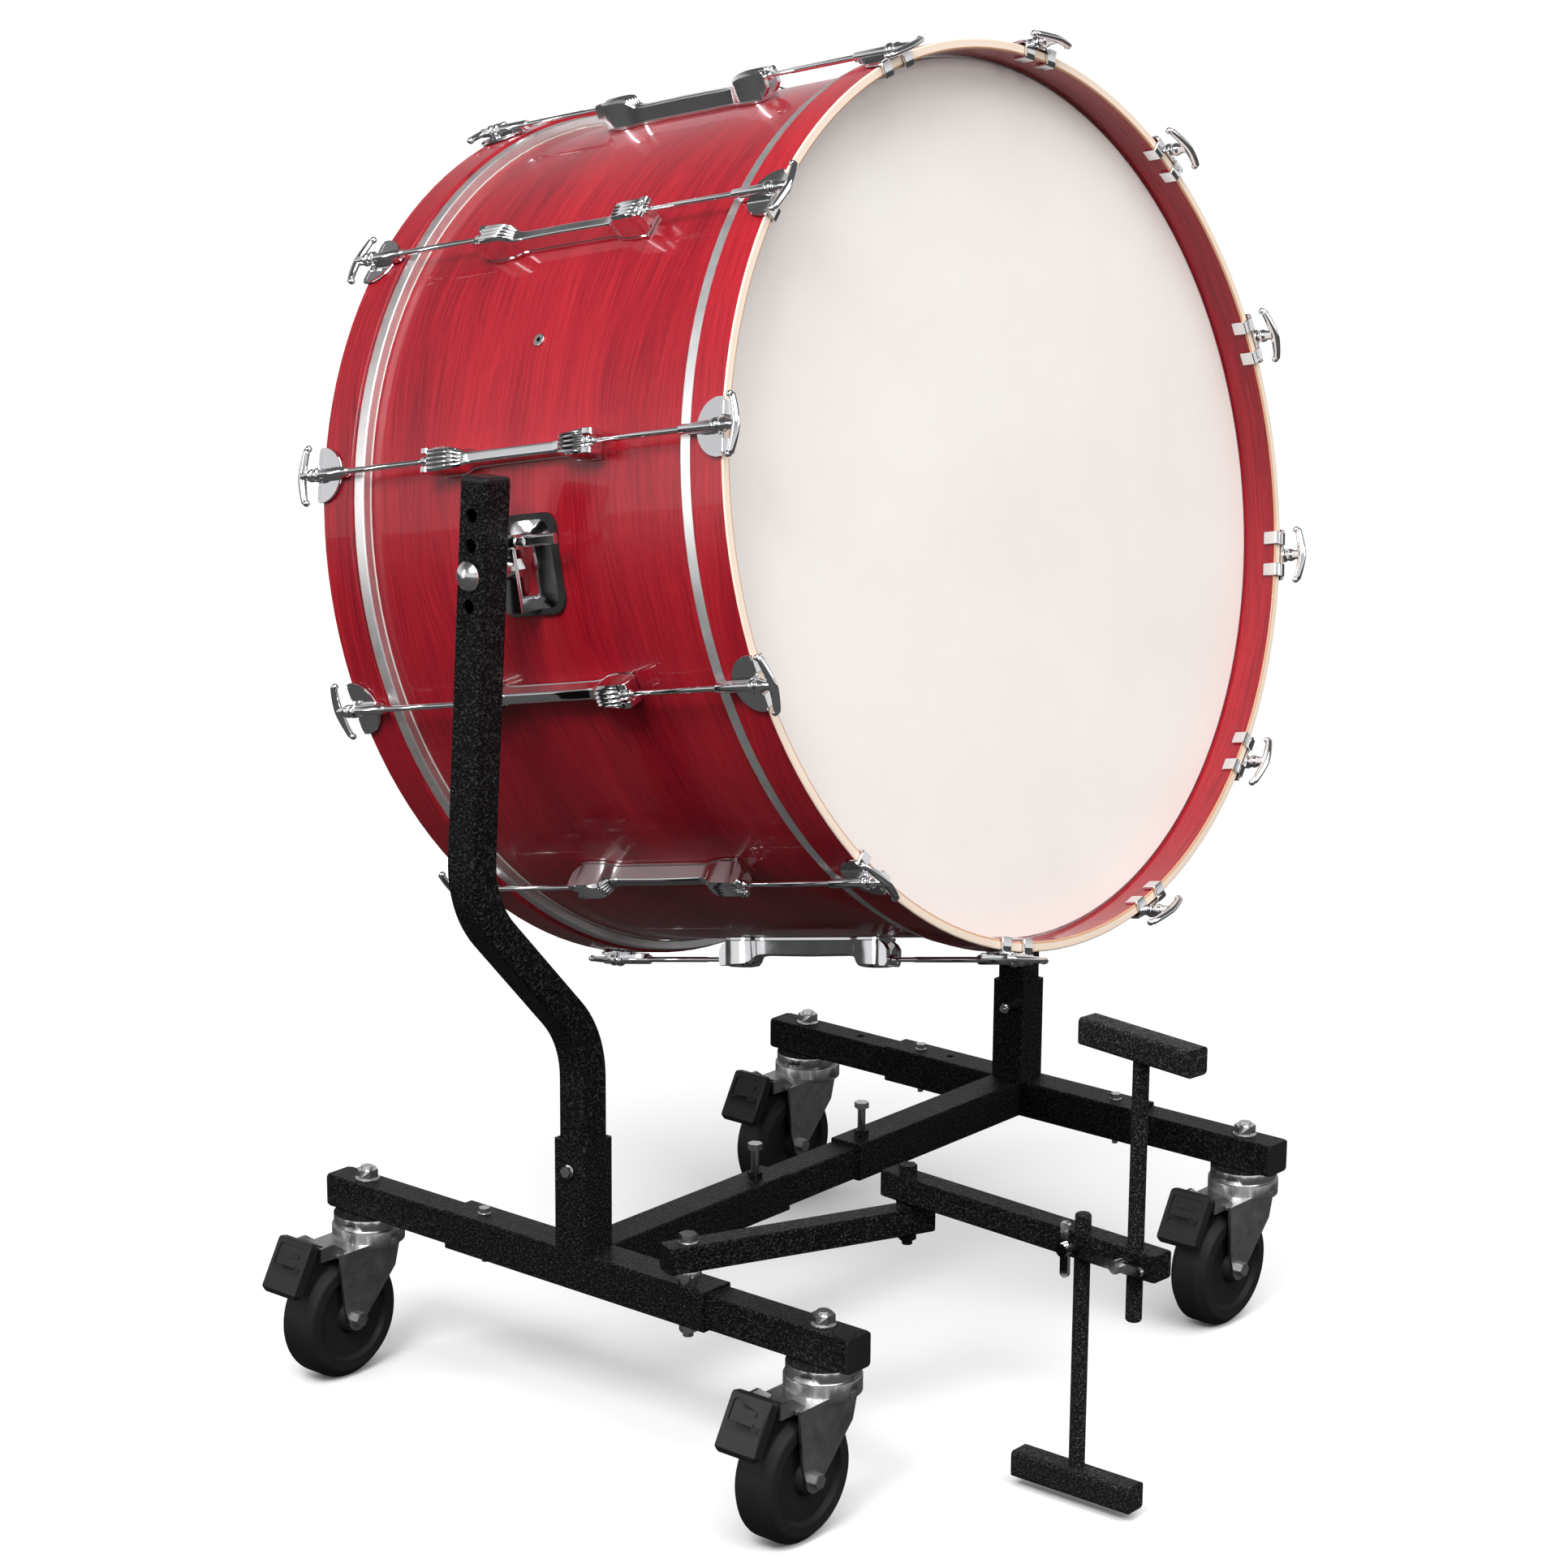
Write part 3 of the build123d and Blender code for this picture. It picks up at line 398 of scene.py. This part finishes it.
def lathe(bm, profile, matrix, steps=24):
    """Turns a profile of (radius, height) about the matrix's z axis."""
    rings = []
    for radius, height in profile:
        ring = []
        for i in range(steps):
            a = 2 * math.pi * i / steps
            ring.append(matrix @ Vector((radius * math.cos(a), radius * math.sin(a), height)))
        rings.append(ring)
    loft(bm, rings)


def slab(bm, outline, thickness, matrix, chamfer=0.0):
    """A flat plate from its outline, with its edges broken by a small chamfer."""

    def shrunk(amount):
        ring = []
        count = len(outline)
        for i, (x, y) in enumerate(outline):
            before = Vector(outline[i - 1])
            after = Vector(outline[(i + 1) % count])
            along = (after - before).normalized()
            normal = Vector((along.y, -along.x))
            ring.append((x - normal.x * amount, y - normal.y * amount))
        return ring

    levels = [(0.0, chamfer), (chamfer, 0.0), (thickness - chamfer, 0.0), (thickness, chamfer)]
    rings = []
    for height, inset in levels:
        rings.append([matrix @ Vector((x, y, height)) for x, y in shrunk(inset)])
    loft(bm, rings)


def fill(piece, bm, smooth_angle=35):
    """Puts the built faces in the piece, shaded smooth except over sharp edges."""
    bmesh.ops.recalc_face_normals(bm, faces=bm.faces)
    limit = math.radians(smooth_angle)
    for face in bm.faces:
        face.smooth = True
    for edge in bm.edges:
        if len(edge.link_faces) == 2 and edge.calc_face_angle(0) > limit:
            edge.smooth = False
    bm.to_mesh(piece.data)
    bm.free()


def place_on_drum(angle, side):
    """Matrix of a lug's own frame: x out from the drum, z towards that side's head."""
    spin = Matrix.Rotation(math.radians(angle), 4, "Z")
    flip = Matrix.Rotation(math.pi, 4, "X") if side < 0 else Matrix.Identity(4)
    base = Matrix((Vector((1, 0, 0)), drum_up, drum_out)).transposed().to_4x4()
    return Matrix.Translation(drum_centre) @ base @ spin @ flip


# ---------------------------------------------------------------- lugs
lug_angles = [15.0 + 30.0 * i for i in range(12)]
rod_circle = 0.4274
lug_stations = (
    # distance along the drum, half width, height of the top above the axis, rib depth (mm)
    (0, 6.3, 424.6, 0.0),
    (28, 6.3, 424.3, 0.0),
    (50, 6.4, 424.0, 0.0),
    (58, 7.1, 424.6, 0.0),
    (62, 8.2, 426.0, 0.4),
    (65, 9.8, 430.0, 2.2),
    (69, 10.9, 433.0, 2.4),
    (76, 11.7, 434.2, 1.7),
    (86, 12.0, 434.5, 1.2),
    (96, 12.0, 434.3, 1.0),
    (97, 11.7, 433.8, 0.9),
)
rib_count = 5
lug_foot = 0.4068               # just clear of the shell
lug_skirt = 0.0008              # the foot stands out this far
lug_lean = 0.0012               # the sides lean in this far
lug_crown = 0.0018
ear_offset = 0.0084             # the two ears of the fork that holds a nut
ear_width = 0.0056
ear_profile = [
    # radius from the drum's axis, distance along the drum
    (0.4100, 0.0965), (0.4260, 0.0965), (0.4335, 0.0965),
    (0.4340, 0.0990), (0.4340, 0.1035), (0.4322, 0.1052),
    (0.4290, 0.1058), (0.4180, 0.1058), (0.4130, 0.1020),
]
nut_profile = [
    # radius from the rod's axis, distance along the drum
    (0.0001, 0.0965), (0.0048, 0.0965), (0.0052, 0.0972), (0.0052, 0.1010),
    (0.0040, 0.1022), (0.0040, 0.1068), (0.0036, 0.1074), (0.0001, 0.1074),
]
# Stands a slab on edge: its outline along x and z of the lug's frame, its thickness along -y.
on_edge = Matrix.Rotation(math.pi / 2, 4, "X")
# Lays a slab on the drum: its outline along y and z, its thickness outwards along x.
laid_flat = Matrix(((0, 0, 1, 0), (1, 0, 0, 0), (0, 1, 0, 0), (0, 0, 0, 1)))


def lug_ring(z, half, top, rib, samples=31):
    """One section of the casting: a flat foot, leaning sides, a crowned and ribbed top."""
    half, top, rib = half / 1000, top / 1000, rib / 1000
    edge = top - lug_crown - rib * 0.5
    flank = [
        (lug_foot, half + lug_skirt),
        (lug_foot + 0.0022, half + lug_skirt),
        (lug_foot + 0.0030, half),
        (edge, half - lug_lean),
    ]
    ring = [Vector((x, -y, z)) for x, y in flank]
    for i in range(samples):
        t = -1 + 2 * i / (samples - 1)
        y = t * (half - lug_lean)
        crown = (1 - abs(t) ** 6) * lug_crown
        groove = rib * (0.5 - 0.5 * math.cos(math.pi * (t + 1) * rib_count))
        ring.append(Vector((edge + crown + groove * (1 - abs(t) ** 12), y, z)))
    ring += [Vector((x, y, z)) for x, y in reversed(flank)]
    return ring


def build_lugs():
    """Twelve double-ended castings, with an ear on each side of every nut."""
    piece = new_piece("lug_castings", chrome)
    bm = bmesh.new()
    both = [(-z, w, t, r) for z, w, t, r in reversed(lug_stations[1:])] + list(lug_stations)
    for angle in lug_angles:
        matrix = place_on_drum(angle, 1)
        rings = [[matrix @ p for p in lug_ring(z / 1000, w, t, r)] for z, w, t, r in both]
        loft(bm, rings)
        for side in (-1, 1):
            own = place_on_drum(angle, side)
            for ear in (-1, 1):
                shift = Matrix.Translation((0, ear * ear_offset + ear_width / 2, 0))
                slab(bm, ear_profile, ear_width, own @ shift @ on_edge, 0.0006)
    fill(piece, bm)
    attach(piece, "drum")
    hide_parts("lug_casings")


def build_swivels():
    """Nuts in the lug ends: a turned barrel with a narrower nose round the rod."""
    piece = new_piece("swivel_nut_barrels", chrome)
    bm = bmesh.new()
    for angle in lug_angles:
        for side in (-1, 1):
            own = place_on_drum(angle, side) @ Matrix.Translation((rod_circle, 0, 0))
            lathe(bm, nut_profile, own, 20)
    fill(piece, bm)
    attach(piece, "drum")
    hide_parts("swivel_nuts")


# ---------------------------------------------------------------- tension rods
handle_half = 0.0262            # half the handle's span
handle_at = 0.2692              # distance of its middle along the drum
tip_radius = 0.0033
rod_core = 0.00235              # thread
rod_stem = 0.00275              # plain stem
rod_profile = [
    # radius, distance along the drum: thread, plain stem, collar, boss of the handle
    (0.0001, 0.080), (rod_core, 0.080), (rod_core, 0.1305),
    (rod_stem, 0.1310), (rod_stem, 0.205), (rod_stem, 0.2518),
    (0.0044, 0.2522), (0.0058, 0.2534), (0.00635, 0.2555), (0.0061, 0.2576),
    (0.0050, 0.2594), (0.0046, 0.2620), (0.0044, 0.2680), (0.0001, 0.2686),
]


def handle_rings(steps=25, sides=14):
    """Sections of the crescent handle, tip to tip, thinner and bent in at the tips."""
    rings = []
    for i in range(steps):
        t = -1 + 2 * i / (steps - 1)
        shape = abs(t)
        y = t * handle_half
        z = handle_at - 0.0052 * shape**1.6
        thick = 0.0049 - 0.0017 * shape**1.3
        wide = 0.0033 - 0.0004 * shape
        close = 0.55 if i in (0, steps - 1) else 1.0
        lean = -t * 0.42
        ring = []
        for k in range(sides):
            a = 2 * math.pi * k / sides
            x = wide * close * math.cos(a)
            w = thick * close * math.sin(a)
            ring.append(Vector((rod_circle + x, y - w * math.sin(lean), z + w * math.cos(lean))))
        rings.append(ring)
    return rings


def ball(bm, centre, radius, matrix, steps=10):
    """A small ball that rounds off the tip of a handle."""
    profile = []
    for i in range(steps + 1):
        a = -math.pi / 2 + math.pi * i / steps
        profile.append((max(radius * math.cos(a), 0.00005), radius * math.sin(a)))
    lathe(bm, profile, matrix @ Matrix.Translation(centre), 16)


def build_rod(number, angle, side, word):
    """One tension rod with its handle, riding on its own body."""
    name = f"rod_{word}_{number:02d}"
    piece = new_piece(f"tension_{name}", chrome)
    bm = bmesh.new()
    own = place_on_drum(angle, side)
    stem = own @ Matrix.Translation((rod_circle, 0, 0))
    lathe(bm, rod_profile, stem, 20)
    loft(bm, [[own @ p for p in ring] for ring in handle_rings()])
    for end in (-1, 1):
        ball(bm, (rod_circle, end * 0.0254, 0.2622), tip_radius, own)
    fill(piece, bm, 50)
    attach(piece, name)
    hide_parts(name)


# ---------------------------------------------------------------- claw hooks
plate_half = 0.0253             # half width of the D plate
plate_depth = 0.0272            # how far it reaches back along the drum
plate_edge = 0.2497             # its straight edge, along the drum
finger_offset = 0.0160
finger_width = 0.0126
lip_profile = [
    # radius from the drum's axis, distance along the drum
    (0.4235, 0.2475), (0.4236, 0.2512), (0.4222, 0.2518), (0.4090, 0.2518), (0.4072, 0.2506),
    (0.4069, 0.2488), (0.4069, 0.2380), (0.4076, 0.2366), (0.4092, 0.2366), (0.4098, 0.2380),
    (0.4098, 0.2486), (0.4106, 0.2492), (0.4206, 0.2492), (0.4210, 0.2475),
]
barrel_profile = [
    # radius from the rod's axis, distance along the drum
    (0.0031, 0.2070), (0.0043, 0.2070), (0.0047, 0.2076), (0.0047, 0.2440), (0.0064, 0.2452),
    (0.0068, 0.2470), (0.0068, 0.2492), (0.0060, 0.2508), (0.0031, 0.2510),
]
web_outline = [
    # distance across, distance along the drum
    (-0.0042, 0.2120), (0.0042, 0.2120), (0.0056, 0.2180),
    (0.0056, 0.2500), (-0.0056, 0.2500), (-0.0056, 0.2180),
]


def plate_outline(steps=20):
    """The D plate: a straight edge at the hoop, and a blunt round towards the drum's middle."""
    outline = []
    for i in range(steps + 1):
        a = math.pi * i / steps
        outline.append((plate_half * math.cos(a), plate_edge - plate_depth * math.sin(a) ** 0.9))
    return outline


def build_claws():
    """Twenty-four claw hooks: plate, two fingers over the hoop, barrel round the rod, and web."""
    piece = new_piece("claw_castings", chrome)
    bm = bmesh.new()
    for angle in lug_angles:
        for side in (-1, 1):
            own = place_on_drum(angle, side)
            slab(bm, plate_outline(), 0.0026, own @ Matrix.Translation((0.4208, 0, 0)) @ laid_flat, 0.0007)
            for y in (-finger_offset, finger_offset):
                bend = own @ Matrix.Translation((0, y + finger_width / 2, 0)) @ on_edge
                slab(bm, lip_profile, finger_width, bend, 0.0005)
            lathe(bm, barrel_profile, own @ Matrix.Translation((rod_circle, 0, 0)), 22)
            slab(bm, web_outline, 0.0060, own @ Matrix.Translation((0.4212, 0, 0)) @ laid_flat, 0.0008)
    fill(piece, bm)
    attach(piece, "drum")
    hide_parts("claw_hooks")


build_lugs()
build_swivels()
build_claws()
for number, angle in enumerate(lug_angles, start=1):
    build_rod(number, angle, 1, "front")
    build_rod(number, angle, -1, "back")


# ---------------------------------------------------------------- broken edges on the made pieces
def break_edges(name, width, segments=2):
    """Welds a CAD node's split corners and rounds its sharp edges a little."""
    obj = nodes[name]
    weld = obj.modifiers.new("weld", "WELD")
    weld.merge_threshold = 0.00002
    soft = obj.modifiers.new("soft", "BEVEL")
    soft.width = width
    soft.segments = segments
    soft.limit_method = "ANGLE"
    soft.angle_limit = math.radians(40)
    soft.use_clamp_overlap = True
    soft.harden_normals = True


fine_edges = (
    "left_base_frame", "right_base_frame", "cross_tube", "caster_legs",
    "rest_arm_inner", "rest_arm_outer", "frame_bolts", "end_caps",
)
for name in fine_edges:
    break_edges(name, 0.0004)
for name in nodes:
    if name.startswith("caster_fork") or name.startswith("brake_pedal"):
        break_edges(name, 0.0006)
break_edges("pivot_brackets", 0.0006)
for name in ("low_rest", "high_rest"):
    break_edges(name, 0.0015, 3)

# ---------------------------------------------------------------- stage
floor_mesh = bpy.data.meshes.new("floor")
reach = 60.0
corners = [(-reach, -reach, 0), (reach, -reach, 0), (reach, reach, 0), (-reach, reach, 0)]
floor_mesh.from_pydata(corners, [], [(0, 1, 2, 3)])
floor = bpy.data.objects.new("floor", floor_mesh)
bpy.context.collection.objects.link(floor)
# The floor is pale to the camera and dark to every other ray, so it lights the drum's underside little.
floor_paint = Nodes("floor_pale")
to_camera = floor_paint.tree.nodes.new("ShaderNodeLightPath").outputs["Is Camera Ray"]
floor_tone = floor_paint.mix(to_camera, (0.05, 0.05, 0.05), (0.90, 0.90, 0.90))
floor_paint.finish(Base_Color=floor_tone, Roughness=0.9, Specular_IOR_Level=0.0)
floor_mesh.materials.append(floor_paint.material)

world = bpy.data.worlds.new("studio")
bpy.context.scene.world = world
world.use_nodes = True
sky = world.node_tree
background = sky.nodes["Background"]
direction = sky.nodes.new("ShaderNodeTexCoord")
parts = sky.nodes.new("ShaderNodeSeparateXYZ")
sky.links.new(direction.outputs["Generated"], parts.inputs[0])


def sky_ramp(low, high):
    """Brightness by height in the sky, for one kind of ray."""
    ramp = sky.nodes.new("ShaderNodeValToRGB")
    for element, (place, value) in zip(ramp.color_ramp.elements, (low, high)):
        element.position = place
        element.color = (value, value, value * 1.015, 1)
    sky.links.new(parts.outputs["Z"], ramp.inputs[0])
    return ramp.outputs["Color"]


def sky_pick(ray_kind, other, wanted):
    """The wanted colour for one kind of ray, and the other colour for the rest."""
    ray = sky.nodes.new("ShaderNodeLightPath")
    pick = sky.nodes.new("ShaderNodeMix")
    pick.data_type = "RGBA"
    sky.links.new(ray.outputs[ray_kind], pick.inputs["Factor"])
    sky.links.new(other, pick.inputs[mix_a])
    if isinstance(wanted, tuple):
        pick.inputs[mix_b].default_value = wanted
    else:
        sky.links.new(wanted, pick.inputs[mix_b])
    return pick.outputs[mix_result]


# Each end of a ramp is a height in the sky and its brightness.
lit = sky_ramp((0.0, 0.24), (0.8, 0.95))
mirrored = sky_ramp((0.10, 0.80), (0.62, 0.10))
seen = sky_pick("Is Glossy Ray", lit, mirrored)
seen = sky_pick("Is Camera Ray", seen, (1.0, 1.0, 1.0, 1))
sky.links.new(seen, background.inputs["Color"])
background.inputs["Strength"].default_value = 1.0
object_middle = Vector((0, 0, 0.8))


def softbox(name, place, size, power):
    """A soft rectangular light that faces the middle of the object."""
    light = bpy.data.lights.new(name, "AREA")
    light.shape = "RECTANGLE"
    light.size, light.size_y = size
    light.energy = power
    holder = bpy.data.objects.new(name, light)
    bpy.context.collection.objects.link(holder)
    holder.location = place
    holder.rotation_euler = (object_middle - Vector(place)).to_track_quat("-Z", "Y").to_euler()


softbox("key", (-2.8, -0.6, 3.0), (1.4, 1.0), 74)
softbox("front", (-0.4, -3.8, 2.6), (2.2, 1.6), 48)
softbox("strip", (-3.4, 2.2, 1.6), (0.4, 2.0), 22)
sun_data = bpy.data.lights.new("overhead", "SUN")
sun_data.energy = 1.5
sun_data.angle = math.radians(50)
sun = bpy.data.objects.new("overhead", sun_data)
bpy.context.collection.objects.link(sun)
sun.rotation_euler = Vector((0.35, 0.45, -1.0)).to_track_quat("-Z", "Y").to_euler()

# ---------------------------------------------------------------- camera
camera_data = bpy.data.cameras.new("camera")
camera_data.lens = 86.28
camera_data.sensor_width = 36.0
camera_data.clip_end = 100
camera = bpy.data.objects.new("camera", camera_data)
bpy.context.collection.objects.link(camera)
bpy.context.scene.camera = camera
heading, pitch, roll = math.radians(50.202), math.radians(13.798), math.radians(0.409)
look = Vector((math.sin(heading) * math.cos(pitch), math.cos(heading) * math.cos(pitch), -math.sin(pitch)))
right = look.cross(Vector((0, 0, 1))).normalized()
above = right.cross(look)
right, above = (
    right * math.cos(roll) + above * math.sin(roll),
    above * math.cos(roll) - right * math.sin(roll),
)
camera_place = Vector((-2.7776, pivot.y - 2.2703, 1.4568))
camera_axes = Matrix((right, above, -look)).transposed().to_4x4()
camera.matrix_world = Matrix.Translation(camera_place) @ camera_axes

bpy.context.scene.view_settings.view_transform = "Standard"
